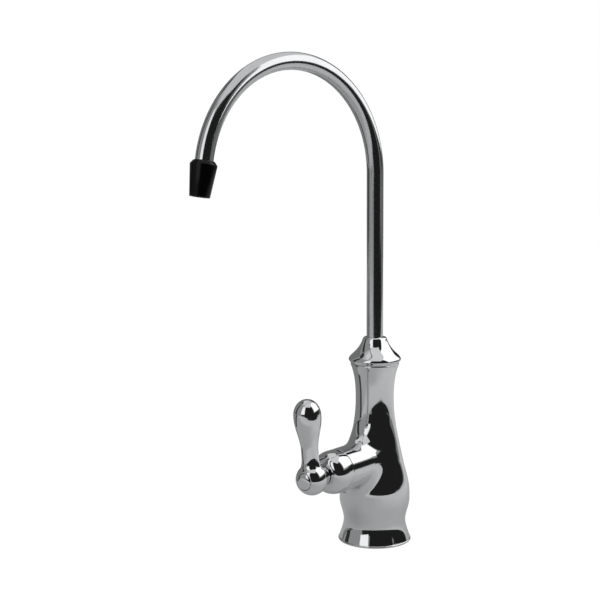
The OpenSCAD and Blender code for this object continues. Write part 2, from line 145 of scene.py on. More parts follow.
def object_from(name, bm):
    """Put a finished mesh in the scene as an object."""
    mesh = bpy.data.meshes.new(name)
    bm.to_mesh(mesh)
    bm.free()
    thing = bpy.data.objects.new(name, mesh)
    bpy.context.collection.objects.link(thing)
    return thing


def finish_piece(name, bm, place, body, slot, *nodes):
    """Close and place a mesh, and let the piece stand for its CAD nodes."""
    bmesh.ops.remove_doubles(bm, verts=bm.verts[:], dist=WELD)
    bmesh.ops.recalc_face_normals(bm, faces=bm.faces[:])
    bmesh.ops.transform(bm, matrix=Matrix.Scale(MM, 4) @ place, verts=bm.verts[:])
    open_edges = sum(1 for e in bm.edges if len(e.link_faces) != 2)
    piece = object_from(name, bm)
    mesh = piece.data
    mesh.polygons.foreach_set("use_smooth", [True] * len(mesh.polygons))
    mesh.set_sharp_from_angle(angle=SHARP_FROM)
    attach(piece, body)
    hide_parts(*nodes)
    print(name, "faces", len(mesh.polygons), "open edges", open_edges)
    return piece


print("lengths times", MM, "and edges sharp from", round(math.degrees(SHARP_FROM)), "degrees")

# %% [markdown]
# ## Places on the tap
# Three frames carry everything: the upright tap axis, the axis of the valve branch that leaves the body at a right
# angle, and the end of the gooseneck where the water falls. Pieces could be placed one by one by eye, but with each
# frame as a matrix a piece is turned round its own Z axis first and put in its exact place last.

# %% Frames of the branch, the spout's end and the lever
# Places along the branch, measured from the tap axis, end in _S.
BRANCH_Z, BRANCH_TURN, BRANCH_R, BRANCH_LEN = 50.6, math.radians(10), 12.9, 38.4
BODY_H, LEG_H, BEND_R, BEND_ANGLE = 109.6, 114.8, 64.2, math.radians(170)
BEND_Z = BODY_H + LEG_H
HUB_S, LEVER_LEAN, LEVER_SIDE = 62.5, math.radians(1.6), math.radians(3.4)

upright = Matrix.Identity(4)
on_branch = (
    Matrix.Translation((0, 0, BRANCH_Z)) @ Matrix.Rotation(BRANCH_TURN, 4, "Z") @ Matrix.Rotation(math.pi / 2, 4, "X")
)
at_spout_end = Matrix.Translation(
    (0, -BEND_R * (1 - math.cos(BEND_ANGLE)), BEND_Z + BEND_R * math.sin(BEND_ANGLE))
) @ Matrix.Rotation(BEND_ANGLE, 4, "X")
on_lever = (
    Matrix.Translation((0, 0, HUB_S)) @ Matrix.Rotation(LEVER_SIDE, 4, "Z")
    @ Matrix.Rotation(LEVER_LEAN - math.pi / 2, 4, "X")
)
print("spout end", [round(v, 2) for v in at_spout_end.translation])

# %% [markdown]
# ## Blending two turned shapes
# Where a branch leaves a casting, or a lever leaves its ball, the foundry pattern has a soft fillet. A bevel of the
# edge where two meshes cross is uneven, because the crossing cuts faces at all angles. Here a window is cut in the
# first shape, its edge is bridged to the open end of the second, and the new faces are smoothed and dropped onto a
# field that blends the two distances. The result is one even skin of four-sided faces.

# %% Fields of distance
GRADIENT_STEP = 0.002
LEAST_GRADIENT = 1e-9


def soft_least(a, b, width):
    """The smaller of two distances, rounded where they are within the width of each other."""
    h = np.maximum(width - np.abs(a - b), 0) / width
    return np.minimum(a, b) - h * h * width / 4


def turned_distance(points, outline):
    """Distance from a turned outline, given as sorted (height, radius) columns, measured square to its slope."""
    heights, radii = outline
    slope = np.gradient(radii, heights)
    rho = np.hypot(points[:, 0], points[:, 1])
    z = np.clip(points[:, 2], heights[0], heights[-1])
    lean = np.interp(z, heights, slope)
    side = (rho - np.interp(z, heights, radii)) / np.sqrt(1 + lean**2)
    below = points[:, 2] < heights[0]
    side[below] = np.hypot(rho[below], points[below, 2] - heights[0]) - radii[0]
    return side


def drop_onto(verts, field, rounds):
    """Move vertices along the field's gradient until they lie on its zero level."""
    points = np.array([v.co[:] for v in verts])
    for _ in range(rounds):
        value = field(points)
        steps = np.eye(3) * GRADIENT_STEP
        gradient = np.stack([(field(points + s) - field(points - s)) / (2 * GRADIENT_STEP) for s in steps], axis=1)
        points -= gradient * (value / np.maximum((gradient**2).sum(axis=1), LEAST_GRADIENT))[:, None]
    for v, point in zip(verts, points):
        v.co = point


print("two equal distances of 1, blended over 1, give", soft_least(1.0, 1.0, 1.0))

# %% Window and bridge
SETTLE_ROUNDS = 4


def edge_of(bm):
    """The open edges of a mesh."""
    return [e for e in bm.edges if len(e.link_faces) == 1]


def only(kind, geom):
    """The mesh elements of one kind, such as vertices or edges."""
    return [g for g in geom if isinstance(g, kind)]


def blend_in(bm, window_faces, graft, graft_place, field, skin, cuts, rounds):
    """Cut a window, bridge it to the open end of a second mesh and settle the joint on the field."""
    bmesh.ops.delete(bm, geom=window_faces, context="FACES")
    window_edges = edge_of(bm)
    graft_mesh = bpy.data.meshes.new("graft")
    graft_bm = bmesh.new()
    turn(graft_bm, graft, len(window_edges), closed=False)
    bmesh.ops.transform(graft_bm, matrix=graft_place, verts=graft_bm.verts[:])
    graft_bm.to_mesh(graft_mesh)
    graft_bm.free()
    bm.from_mesh(graft_mesh)
    bpy.data.meshes.remove(graft_mesh)
    bridge = bmesh.ops.bridge_loops(bm, edges=edge_of(bm), use_merge=False, twist_offset=0)
    cut = bmesh.ops.subdivide_edges(bm, edges=bridge["edges"], cuts=cuts, use_grid_fill=True)
    moving = list(set(only(bmesh.types.BMVert, cut["geom_inner"])))
    for _ in range(rounds):
        bmesh.ops.smooth_vert(bm, verts=moving, factor=0.5, use_axis_x=True, use_axis_y=True, use_axis_z=True)
        drop_onto(moving, field, 1)
    drop_onto(moving + skin(bm), field, SETTLE_ROUNDS)
    print("joint of", len(moving), "vertices along a window of", len(window_edges), "edges")


print("joints are settled in", SETTLE_ROUNDS, "last rounds")

# %% [markdown]
# ## Cast body
# The body is a hollow brass casting, polished and plated: a rounded flange on the worktop, a narrow waist, a full
# belly, a slim neck and a flared crown. It could be drawn as stacked cylinders, but one spun outline keeps the
# reflections flowing. Its underside has the hollow, the groove of the rubber ring and the inlet bore, its top the
# bearing of the spout, and the branch brings the valve chamber with it.

# %% Outline of the body
# Places are (radius, height), and a slope is the change of radius over height.
FLANGE_R, RIM_R, SHOULDER_R, CROWN_R, CROWN_ROUND = 22.3, 0.7, 17.3, 14.7, 0.8
FOOT_R = FLANGE_R - RIM_R * 0.6
WAIST, BELLY, BELLY_BAND, NECK = (18.95, 12.8), (21.5, 26.0), 3.6, (11.6, 87.5)
FOOT_SLOPE, SHOULDER_SLOPE, CROWN_SLOPE = -0.33, -0.213, 0.4
CROWN_FOOT_Z, CROWN_ROUND_Z = BODY_H - 0.4, BODY_H - 0.2
rim = arc(FLANGE_R - RIM_R, RIM_R, RIM_R, range(-90, 61, 10))
side = joined(
    curve(2 * RIM_R, FOOT_R, FOOT_SLOPE, WAIST[1], WAIST[0], 0, 18)
    + curve(WAIST[1], WAIST[0], 0, BELLY[1], BELLY[0], 0, 18)
    + curve(BELLY[1] + BELLY_BAND, BELLY[0], 0, BRANCH_Z, SHOULDER_R, SHOULDER_SLOPE, 24)
    + curve(BRANCH_Z, SHOULDER_R, SHOULDER_SLOPE, NECK[1], NECK[0], 0, 40)
    + curve(NECK[1], NECK[0], 0, CROWN_FOOT_Z, CROWN_R, CROWN_SLOPE, 24)
    + arc(CROWN_R - CROWN_ROUND, CROWN_ROUND_Z, CROWN_ROUND, range(0, 91, 15))
)

# Inside the crown: its lip, the cap's seat and socket, and the bearing of the spout
LIP_R, LIP_Z, CAP_SEAT_Z = 13.3, BODY_H + 0.6, BODY_H - 0.1
SOCKET_R, SOCKET_Z, BEARING_R, BEARING_Z = 9.65, 99.6, 7.3, 86.15
inside_top = [
    (LIP_R, LIP_Z), (LIP_R, CAP_SEAT_Z), (SOCKET_R, CAP_SEAT_Z), (SOCKET_R, SOCKET_Z),
    (BEARING_R, SOCKET_Z), (BEARING_R, BEARING_Z), (0, BEARING_Z),
]

# Underneath: the inlet bore in its boss, the hollow foot, and the groove of the rubber ring
INLET_R, INLET_H, BOSS_R, HOLLOW_R, HOLLOW_H = 7, 13, 10, 14.95, 30
GROOVE_IN_R, GROOVE_OUT_R, GROOVE_H = 17.2, 20.4, 1.4
underside = [
    (0, INLET_H), (INLET_R, INLET_H), (INLET_R, 0), (BOSS_R, 0), (BOSS_R, HOLLOW_H), (HOLLOW_R, HOLLOW_H),
    (HOLLOW_R, 0), (GROOVE_IN_R, 0), (GROOVE_IN_R, GROOVE_H), (GROOVE_OUT_R, GROOVE_H), (GROOVE_OUT_R, 0),
]

body_bm = bmesh.new()
turn(body_bm, underside + rim + side + inside_top, steps=128, closed=False)
soften(body_bm, width=0.22, segments=2)
print("body without its branch", len(body_bm.faces), "faces")

# %% Field of body and branch
BRANCH_ROOT, FILLET_SIDE, FILLET_TOP, FILLET_BELOW = 6.0, 5.0, 13.0, 7.0
LEAST_RADIUS = 1e-6
side_outline = np.array([(z, r) for r, z in side]).T
branch_outline = np.array([(BRANCH_ROOT, BRANCH_R), (BRANCH_LEN, BRANCH_R)]).T
to_branch = np.array(on_branch.inverted())


def casting_field(points):
    """Body and branch, blended widely above the branch and closely at its sides."""
    on_axis = points @ to_branch[:3, :3].T + to_branch[:3, 3]
    rise = on_axis[:, 1] / np.maximum(np.hypot(on_axis[:, 0], on_axis[:, 1]), LEAST_RADIUS)
    fillet = FILLET_SIDE + np.where(rise > 0, FILLET_TOP - FILLET_SIDE, FILLET_BELOW - FILLET_SIDE) * rise**2
    return soft_least(turned_distance(points, side_outline), turned_distance(on_axis, branch_outline), fillet)


print("side of", side_outline.shape[1], "points, branch of radius", BRANCH_R)

# %% Body with its valve branch
SKIN_FROM_Z, SKIN_TO_Z, SKIN_R, SKIN_DEPTH = 8, 104, 24, 0.05
WINDOW_HALF_H, WINDOW_MIN_R, WINDOW_TURN = 15, 11.2, math.radians(52)
CUP_FROM, CUP_STEP, CUP_RINGS = 28, 0.8, 13
SEAM, CHAMBER_R, CHAMBER_FLOOR = 0.25, 10, 14
branch_way = Vector((math.sin(BRANCH_TURN), -math.cos(BRANCH_TURN), 0))


def casting_skin(bm):
    """Vertices of the body's outer side, away from its rims and bores."""
    return [v for v in bm.verts if SKIN_FROM_Z < v.co.z < SKIN_TO_Z and math.hypot(v.co.x, v.co.y) < SKIN_R
            and math.hypot(v.co.x, v.co.y) > np.interp(v.co.z, *side_outline) - SKIN_DEPTH]


def in_branch_window(face):
    """Whether a face of the outer side lies where the branch leaves."""
    spot = face.calc_center_median()
    around = Vector((spot.x, spot.y, 0))
    return (abs(spot.z - BRANCH_Z) < WINDOW_HALF_H and around.length > WINDOW_MIN_R
            and around.angle(branch_way) < WINDOW_TURN)


branch_cup = [(BRANCH_R, CUP_FROM + CUP_STEP * i) for i in range(CUP_RINGS)] + [
    (BRANCH_R, BRANCH_LEN - SEAM), (BRANCH_R - SEAM, BRANCH_LEN), (CHAMBER_R, BRANCH_LEN), (CHAMBER_R, CHAMBER_FLOOR),
    (0, CHAMBER_FLOOR),
]
blend_in(body_bm, [f for f in body_bm.faces if in_branch_window(f)], branch_cup, on_branch, casting_field,
         casting_skin, cuts=22, rounds=60)
tap_body = finish_piece("cast_body", body_bm, upright, "tap_body", "chrome_plate", "body")

# %% [markdown]
# ## Cap of the spout
# A conical cap screws into the crown and holds the spout down. It is turned brass: a plain skirt inside the body, a
# thick flared edge outside, a hollow cone and a rounded top round the tube. It could be a cone with rings added, but
# one closed outline keeps the slope flowing, and a fine bevel on the sharp edges catches the light as polished
# corners do.

# %% Conical spout cap
# Heights of the cap are measured from the top of the body.
SKIRT_R, SKIRT_END, HOLLOW_CAP_R, HOLLOW_CAP_Z = 9.6, -5.5, 6.65, -0.6
LEDGE_IN_R, LEDGE_OUT_R, LEDGE_Z, EDGE_FOOT_R = 13.2, 14.75, 0.7, 14.8
EDGE_R, EDGE_Z, CONE_R, CONE_Z, CONE_SLOPE = 15.95, 2.6, 11.85, 7.6, -0.95
CONE_TOP_R, CONE_TOP_Z, TOP_ROUND, TOP_ROUND_R, TOP_ROUND_Z = 7.23, 15.36, 1.5, 5.8, 14.9
CAP_BORE_R, CAP_H = 5.4, 16.4
cap_side = joined(
    [(SKIRT_R, 0), (LEDGE_IN_R, 0), (LEDGE_IN_R, LEDGE_Z), (LEDGE_OUT_R, LEDGE_Z)]
    + curve(LEDGE_Z, EDGE_FOOT_R, 0.2, EDGE_Z, EDGE_R, 0.3, 8)
    + curve(EDGE_Z, EDGE_R, -0.05, CONE_Z, CONE_R, CONE_SLOPE, 16)
    + curve(CONE_Z, CONE_R, CONE_SLOPE, CONE_TOP_Z, CONE_TOP_R, -0.325, 18)
    + arc(TOP_ROUND_R, TOP_ROUND_Z, TOP_ROUND, range(18, 91, 9))
    + [(CAP_BORE_R, CAP_H), (CAP_BORE_R, HOLLOW_CAP_Z), (HOLLOW_CAP_R, HOLLOW_CAP_Z), (HOLLOW_CAP_R, SKIRT_END),
       (SKIRT_R, SKIRT_END)]
)
cap_bm = bmesh.new()
turn(cap_bm, cap_side, steps=128, closed=True)
soften(cap_bm, width=0.2, segments=3, angle=24)
spout_cap = finish_piece("conical_cap", cap_bm, Matrix.Translation((0, 0, BODY_H)), "tap_body", "chrome_plate",
                         "spout_cap")

# %% [markdown]
# ## Bonnet of the valve
# The bonnet is a domed nut that clamps the cartridge in the branch. Its straight band continues the branch, with a
# fine seam between them, and its dome ends in a mouth that the spindle passes through. It could be half a sphere with a
# hole, but the real dome is flatter, so its outline is spun round the branch like the cap's.

# %% Domed bonnet
BAND_LEN, MOUTH_S, MOUTH_FACE_R, SPINDLE_HOLE_R = 3.6, 51.6, 6.5, 4.4
CLAMP_R, CLAMP_S, RECESS_R, RECESS_S = 11.75, 40.95, 6.5, 48.6
bonnet_outline = joined(
    [(CLAMP_R, BRANCH_LEN), (BRANCH_R - SEAM, BRANCH_LEN), (BRANCH_R, BRANCH_LEN + SEAM)]
    + dome(BRANCH_LEN + BAND_LEN, BRANCH_R, MOUTH_S, MOUTH_FACE_R, 28)
    + [(SPINDLE_HOLE_R, MOUTH_S), (SPINDLE_HOLE_R, RECESS_S), (RECESS_R, RECESS_S), (RECESS_R, CLAMP_S),
       (CLAMP_R, CLAMP_S)]
)
bonnet_bm = bmesh.new()
turn(bonnet_bm, bonnet_outline, steps=112, closed=True)
soften(bonnet_bm, width=0.2, segments=2)
bonnet = finish_piece("domed_bonnet", bonnet_bm, on_branch, "tap_body", "chrome_plate", "bonnet")

# %% [markdown]
# ## Lever
# The lever is one casting: a ball that sits on the spindle and a teardrop handle that rises from it, leaning a little
# outwards and to one side. Ball and handle are turned shapes on two axes. They could just overlap, but a hard line
# would show, so they are blended in the same way as body and branch, with a much tighter fillet.

# %% Ball hub
HUB_R, HUB_NECK_R, HUB_FOOT_S, HUB_NECK_S, BALL_BACK = 9.3, 5.5, 52.0, 54.7, math.radians(143.8)
SPINDLE_BORE_R, SCREW_BORE_R, SCREW_WALL, SCREW_HEAD_R, SCREW_HEAD_H = 4.05, 2.4, 1.8, 3.9, 2.4
PLUG_R, PLUG_RIM, PLUG_T, PLUG_GAP = 5.0, 0.5, 1.6, 0.05
hub_face = HUB_S + math.sqrt(HUB_R**2 - (PLUG_R + PLUG_RIM) ** 2)
plug_seat = hub_face - PLUG_T
head_seat = plug_seat - SCREW_HEAD_H
bore_end = head_seat - SCREW_WALL
ball_angles = np.linspace(math.asin((PLUG_R + PLUG_RIM) / HUB_R), BALL_BACK, 34)
hub_outline = (
    [(SPINDLE_BORE_R, HUB_FOOT_S), (SPINDLE_BORE_R, bore_end), (SCREW_BORE_R, bore_end), (SCREW_BORE_R, head_seat),
     (SCREW_HEAD_R, head_seat), (SCREW_HEAD_R, plug_seat), (PLUG_R + PLUG_GAP, plug_seat),
     (PLUG_R + PLUG_GAP, hub_face)]
    + [(HUB_R * math.sin(a), HUB_S + HUB_R * math.cos(a)) for a in ball_angles]
    + [(HUB_NECK_R, HUB_NECK_S), (HUB_NECK_R, HUB_FOOT_S)]
)
hub_bm = bmesh.new()
turn(hub_bm, hub_outline, steps=108, closed=True)
soften(hub_bm, width=0.18, segments=2)
print("ball without its handle", len(hub_bm.faces), "faces")

# %% Field of ball and handle
# Heights of the handle are measured from the middle of the ball.
ROOT_R, ROOT_H, ROOT_SLOPE, STEM_R, STEM_FROM_H, STEM_TO_H = 6.1, 6.9, -0.4, 5.0, 13.5, 17.5
HEAD_R, HEAD_FROM_H, HEAD_TO_H, TIP_H = 8.1, 36.4, 37.6, 47
HUB_FILLET = 0.25
handle_side = joined(
    curve(ROOT_H, ROOT_R, ROOT_SLOPE, STEM_FROM_H, STEM_R, 0, 14)
    + curve(STEM_TO_H, STEM_R, 0, HEAD_FROM_H, HEAD_R, 0, 36)
    + dome(HEAD_TO_H, HEAD_R, TIP_H, 0, 24)
)
handle_outline = np.array([(h, r) for r, h in handle_side[:-1]]).T
to_handle = np.array(on_lever.inverted())
hub_centre = Vector((0, 0, HUB_S))


def lever_field(points):
    """Ball and handle, blended closely."""
    ball = np.linalg.norm(points - np.array(hub_centre), axis=1) - HUB_R
    on_axis = points @ to_handle[:3, :3].T + to_handle[:3, 3]
    return soft_least(ball, turned_distance(on_axis, handle_outline), HUB_FILLET)


print("handle of", handle_outline.shape[1], "points on a ball of radius", HUB_R)

# %% Ball with its teardrop handle
HUB_SKIN_DEPTH, HUB_SKIN_HALF = 0.02, 6.4
BALL_DEPTH, HANDLE_WINDOW, GRAFT_FROM_H = 0.2, math.radians(31.5), 12.4


def hub_skin(bm):
    """Vertices of the ball near the handle."""
    return [v for v in bm.verts if abs((v.co - hub_centre).length - HUB_R) < HUB_SKIN_DEPTH and v.co.y > 0
            and abs(v.co.z - HUB_S) < HUB_SKIN_HALF]


def in_handle_window(face):
    """Whether a face of the ball lies under the handle."""
    spot = face.calc_center_median() - hub_centre
    if spot.length < HUB_R - BALL_DEPTH or spot.y < 0:
        return False
    across, along = math.atan2(spot.x, spot.y), math.asin(spot.z / spot.length)
    return abs(across + LEVER_SIDE) < HANDLE_WINDOW and abs(along - LEVER_LEAN) < HANDLE_WINDOW


handle_graft = [p for p in handle_side if p[1] > GRAFT_FROM_H]
blend_in(hub_bm, [f for f in hub_bm.faces if in_handle_window(f)], handle_graft, on_lever, lever_field, hub_skin,
         cuts=7, rounds=40)
lever = finish_piece("teardrop_lever", hub_bm, on_branch, "handle", "chrome_plate", "lever")

# %% [markdown]
# ## Plug of the hub
# A thin domed disc closes the screw hole in the ball's end. It could be a groove drawn on the ball, but as a piece of
# its own it stands a hair inside the rim, and that real gap draws the fine round line that the eye finds there.

# %% Domed plug
plug_r, plug_foot, plug_edge, plug_crown = PLUG_R - 0.1, plug_seat + 0.02, hub_face - 0.2, hub_face + 1.2
plug_outline = joined([(0, plug_foot), (plug_r, plug_foot), (plug_r, plug_edge)]
                      + dome(plug_edge, plug_r, plug_crown, 0, 14))
plug_bm = bmesh.new()
turn(plug_bm, plug_outline, steps=72, closed=False)
soften(plug_bm, width=0.15, segments=2)
hub_plug = finish_piece("hub_disc", plug_bm, on_branch, "handle", "chrome_plate", "hub_plug")

# %% [markdown]
# ## Gooseneck tube
# The spout is thin drawn tube, bent cold over a former. It could be a bevelled curve, but two circles that are
# extruded up the leg, spun round the bend and extruded again give exact walls and an open bore.

# %% Gooseneck tube
TUBE_R, TUBE_BORE_R, TUBE_FOOT_Z, TUBE_END = 5.0, 4.0, 91.65, 9.2
TUBE_SIDES, LEG_STEPS, BEND_STEPS, NEAR_FOOT = 72, 12, 120, 0.01
bend_centre = (0, -BEND_R, BEND_Z)
flow = Vector((0, -math.sin(BEND_ANGLE), math.cos(BEND_ANGLE)))
tube_bm = bmesh.new()


def grow(loop, way):
    """Extrude a loop of edges along a way, and give the new loop."""
    grown = bmesh.ops.extrude_edge_only(tube_bm, edges=loop)["geom"]
    bmesh.ops.translate(tube_bm, vec=way, verts=only(bmesh.types.BMVert, grown))
    return only(bmesh.types.BMEdge, grown)


for radius in (TUBE_R, TUBE_BORE_R):
    ring = bmesh.ops.create_circle(tube_bm, cap_ends=False, segments=TUBE_SIDES, radius=radius,
                                   matrix=Matrix.Translation((0, 0, TUBE_FOOT_Z)))
    loop = list({e for v in ring["verts"] for e in v.link_edges})
    for _ in range(LEG_STEPS):
        loop = grow(loop, (0, 0, (BEND_Z - TUBE_FOOT_Z) / LEG_STEPS))
    spun = bmesh.ops.spin(tube_bm, geom=list({v for e in loop for v in e.verts}) + loop, cent=bend_centre,
                          axis=(1, 0, 0), angle=BEND_ANGLE, steps=BEND_STEPS, use_merge=False)
    grow(only(bmesh.types.BMEdge, spun["geom_last"]), flow * TUBE_END)
low = [e for e in edge_of(tube_bm) if all(abs(v.co.z - TUBE_FOOT_Z) < NEAR_FOOT for v in e.verts)]
bmesh.ops.bridge_loops(tube_bm, edges=low)
bmesh.ops.bridge_loops(tube_bm, edges=edge_of(tube_bm))
spout_tube = finish_piece("gooseneck_tube", tube_bm, upright, "spout", "chrome_plate", "spout_tube")

# %% [markdown]
# ## Nozzle
# A moulded black nozzle is pushed on the tube's end: a short bevel, a shoulder and a skirt that narrows to the mouth.
# It could be a plain cone, but one closed outline also gives the stepped bore. Moulded edges are never knife-sharp, so
# all of them get a small bevel.

# %% Black nozzle
# Places are measured from the end of the bend, along the flow.
GRIP_R, COLLAR_R, NOZZLE_TOP, NOZZLE_SHOULDER, SKIRT_TIP_R, NOZZLE_END = 5.05, 5.75, 1.2, (7.45, 3.3), 5.6, 20.7
OUTLET_R, OUTLET_FROM, STRAIGHTENER_R, STRAIGHTENER_FROM = 4.5, 14.7, 4.25, 10.7
nozzle_outline = [
    (GRIP_R, NOZZLE_TOP), (COLLAR_R, NOZZLE_TOP), NOZZLE_SHOULDER, (SKIRT_TIP_R, NOZZLE_END), (OUTLET_R, NOZZLE_END),
    (OUTLET_R, OUTLET_FROM), (STRAIGHTENER_R, OUTLET_FROM), (STRAIGHTENER_R, STRAIGHTENER_FROM),
    (TUBE_BORE_R, STRAIGHTENER_FROM), (TUBE_BORE_R, TUBE_END), (GRIP_R, TUBE_END),
]
nozzle_bm = bmesh.new()
turn(nozzle_bm, nozzle_outline, steps=96, closed=True)
soften(nozzle_bm, width=0.25, segments=3, angle=20)
nozzle = finish_piece("black_nozzle", nozzle_bm, at_spout_end, "spout", "black_plastic", "outlet_nozzle")

# %% [markdown]
# ## Shared surface effects
# Real surfaces are never even. The same nodes could be drawn again in each finish, but three small node groups are
# built once and shared: handling marks that dull a polish in soft clouds and hairlines, the faint waviness that
# polishing leaves on a casting, and the fine grain of drawn metal and mouldings. They read Object coordinates, so the
# marks stay with the metal when the tap turns.

# %% Node groups
def new_group(name, inputs, outputs):
    """An empty node group with number sockets, and its two end nodes."""
    group = bpy.data.node_groups.new(name, "ShaderNodeTree")
    for label, default in inputs:
        socket = group.interface.new_socket(label, in_out="INPUT", socket_type="NodeSocketFloat")
        socket.default_value = default
    for label in outputs:
        group.interface.new_socket(label, in_out="OUTPUT", socket_type="NodeSocketFloat")
    return group, group.nodes.new("NodeGroupInput"), group.nodes.new("NodeGroupOutput")


def add(tree, kind, **settings):
    """Add a node; settings are attributes, or values of the sockets with that number or name under 'set'."""
    node = tree.nodes.new(kind)
    for socket, value in settings.pop("set", {}).items():
        node.inputs[socket].default_value = value
    for key, value in settings.items():
        setattr(node, key, value)
    return node


def handling_marks_group():
    """A mask of soft clouds with thin hairlines over them."""
    group, given, result = new_group("handling_marks", [("Cloud scale", 90.0), ("Hairline scale", 900.0)], ["Mask"])
    link = group.links.new
    where = add(group, "ShaderNodeTexCoord")
    clouds = add(group, "ShaderNodeTexNoise", set={"Detail": 4.0, "Roughness": 0.55})
    stretch = add(group, "ShaderNodeMapping", set={"Scale": (1.0, 0.06, 1.0), "Rotation": (0.6, 0.3, 0.9)})
    hairs = add(group, "ShaderNodeTexNoise", set={"Detail": 2.0, "Roughness": 0.5})
    thin = add(group, "ShaderNodeMapRange", interpolation_type="SMOOTHSTEP", set={"From Min": 0.62, "From Max": 0.74})
    both = add(group, "ShaderNodeMath", operation="MULTIPLY_ADD", set={1: 0.35})
    link(where.outputs["Object"], clouds.inputs["Vector"])
    link(given.outputs["Cloud scale"], clouds.inputs["Scale"])
    link(where.outputs["Object"], stretch.inputs["Vector"])
    link(stretch.outputs["Vector"], hairs.inputs["Vector"])
    link(given.outputs["Hairline scale"], hairs.inputs["Scale"])
    link(hairs.outputs["Fac"], thin.inputs["Value"])
    link(thin.outputs["Result"], both.inputs[0])
    link(clouds.outputs["Fac"], both.inputs[2])
    link(both.outputs[0], result.inputs["Mask"])
    return group


def relief_group(name, scale_label, scale, detail, roughness):
    """A height that follows one noise."""
    group, given, result = new_group(name, [(scale_label, scale)], ["Height"])
    link = group.links.new
    where = add(group, "ShaderNodeTexCoord")
    noise = add(group, "ShaderNodeTexNoise", set={"Detail": detail, "Roughness": roughness})
    link(where.outputs["Object"], noise.inputs["Vector"])
    link(given.outputs[scale_label], noise.inputs["Scale"])
    link(noise.outputs["Fac"], result.inputs["Height"])
    return group


marks_group = handling_marks_group()
waves_group = relief_group("cast_waviness", "Wave scale", 55.0, detail=1.0, roughness=0.4)
grain_group = relief_group("fine_grain", "Grain scale", 2500.0, detail=3.0, roughness=0.6)
print("groups", [g.name for g in bpy.data.node_groups])

# %% [markdown]
# ## Finishes
# Every finish is a Principled shader whose roughness, colour and bump vary through the groups. Each could be built by
# hand, but one helper keeps them alike. Chrome is fully metallic and nearly a mirror, the drawn tube is a shade
# duller, and the nozzle is satin black plastic. The pieces inside the valve are brass, rubber, ceramic, white plastic
# and steel.

# %% Finish helper
MARKS_FROM, MARKS_TO = 0.3, 0.9


def finish(name, tone, contrast, rough, metallic=0.0, wave=None, grain=None, bump=(0.1, 0.0001), specular=0.5):
    """One finish: tone and its darker shade, a roughness range, and bump from waves or grain."""
    material = bpy.data.materials.new(name)
    material.use_nodes = True
    tree = material.node_tree
    shader = tree.nodes["Principled BSDF"]
    shader.inputs["Metallic"].default_value = metallic
    shader.inputs["Specular IOR Level"].default_value = specular
    dulled = add(tree, "ShaderNodeGroup", node_tree=marks_group)
    roughness = add(tree, "ShaderNodeMapRange", set={"From Min": MARKS_FROM, "From Max": MARKS_TO,
                                                     "To Min": rough[0], "To Max": rough[1]})
    shade = add(tree, "ShaderNodeMix", data_type="RGBA")
    shade.inputs["A"].default_value = (*tone, 1)
    shade.inputs["B"].default_value = (*[v * (1 - contrast) for v in tone], 1)
    link = tree.links.new
    link(dulled.outputs["Mask"], roughness.inputs["Value"])
    link(roughness.outputs["Result"], shader.inputs["Roughness"])
    link(dulled.outputs["Mask"], shade.inputs["Factor"])
    link(shade.outputs["Result"], shader.inputs["Base Color"])
    relief = add(tree, "ShaderNodeGroup", node_tree=waves_group if wave else grain_group)
    relief.inputs[0].default_value = wave or grain
    raised = add(tree, "ShaderNodeBump", set={"Strength": bump[0], "Distance": bump[1]})
    link(relief.outputs["Height"], raised.inputs["Height"])
    link(raised.outputs["Normal"], shader.inputs["Normal"])
    return material


print("marks count from", MARKS_FROM, "to", MARKS_TO)

# %% Finishes of all pieces
chrome = finish("polished_chrome", (0.80, 0.81, 0.82), contrast=0.10, rough=(0.035, 0.085), metallic=1.0, wave=40.0,
                bump=(0.04, 0.0004))
drawn_chrome = finish("drawn_chrome", (0.72, 0.73, 0.74), contrast=0.14, rough=(0.10, 0.17), metallic=1.0,
                      grain=1800.0, bump=(0.003, 0.00004))
black_moulding = finish("black_moulding", (0.003, 0.003, 0.0035), contrast=0.3, rough=(0.18, 0.28), grain=2600.0,
                        bump=(0.08, 0.00005), specular=0.2)
brass = finish("machined_brass", (0.80, 0.62, 0.30), contrast=0.2, rough=(0.2, 0.36), metallic=1.0, grain=2200.0)
rubber = finish("ring_rubber", (0.028, 0.028, 0.03), contrast=0.3, rough=(0.6, 0.8), grain=3000.0, bump=(0.3, 0.0001))
white_moulding = finish("white_moulding", (0.84, 0.84, 0.81), contrast=0.08, rough=(0.35, 0.5), grain=2400.0)
ceramic = finish("lapped_ceramic", (0.88, 0.88, 0.85), contrast=0.05, rough=(0.12, 0.22), grain=2800.0,
                 bump=(0.05, 0.00005))
steel = finish("plain_steel", (0.56, 0.57, 0.58), contrast=0.15, rough=(0.25, 0.4), metallic=1.0, grain=2400.0)

for piece in (tap_body, spout_cap, bonnet, lever, hub_plug):
    piece.data.materials.append(chrome)
spout_tube.data.materials.append(drawn_chrome)
nozzle.data.materials.append(black_moulding)

node_finishes = {
    brass: ["cartridge_housing", "spout_spigot", "spindle"],
    rubber: ["base_gasket", "housing_o_ring", "cartridge_seal", "lower_spigot_o_ring", "upper_spigot_o_ring",
             "spindle_o_ring"],
    white_moulding: ["lower_thrust_washer", "upper_thrust_washer", "spindle_washer", "flow_straightener"],
    ceramic: ["fixed_disc", "moving_disc"],
    steel: ["spindle_clip", "handle_screw"],
    chrome: ["body", "spout_cap", "bonnet", "lever", "hub_plug"],
    drawn_chrome: ["spout_tube"],
    black_moulding: ["outlet_nozzle"],
}
for material, names in node_finishes.items():
    for name in names:
        solid = bpy.data.objects[name]
        solid.data.materials.clear()
        solid.data.materials.append(material)
print("finishes", [m.name for m in node_finishes])

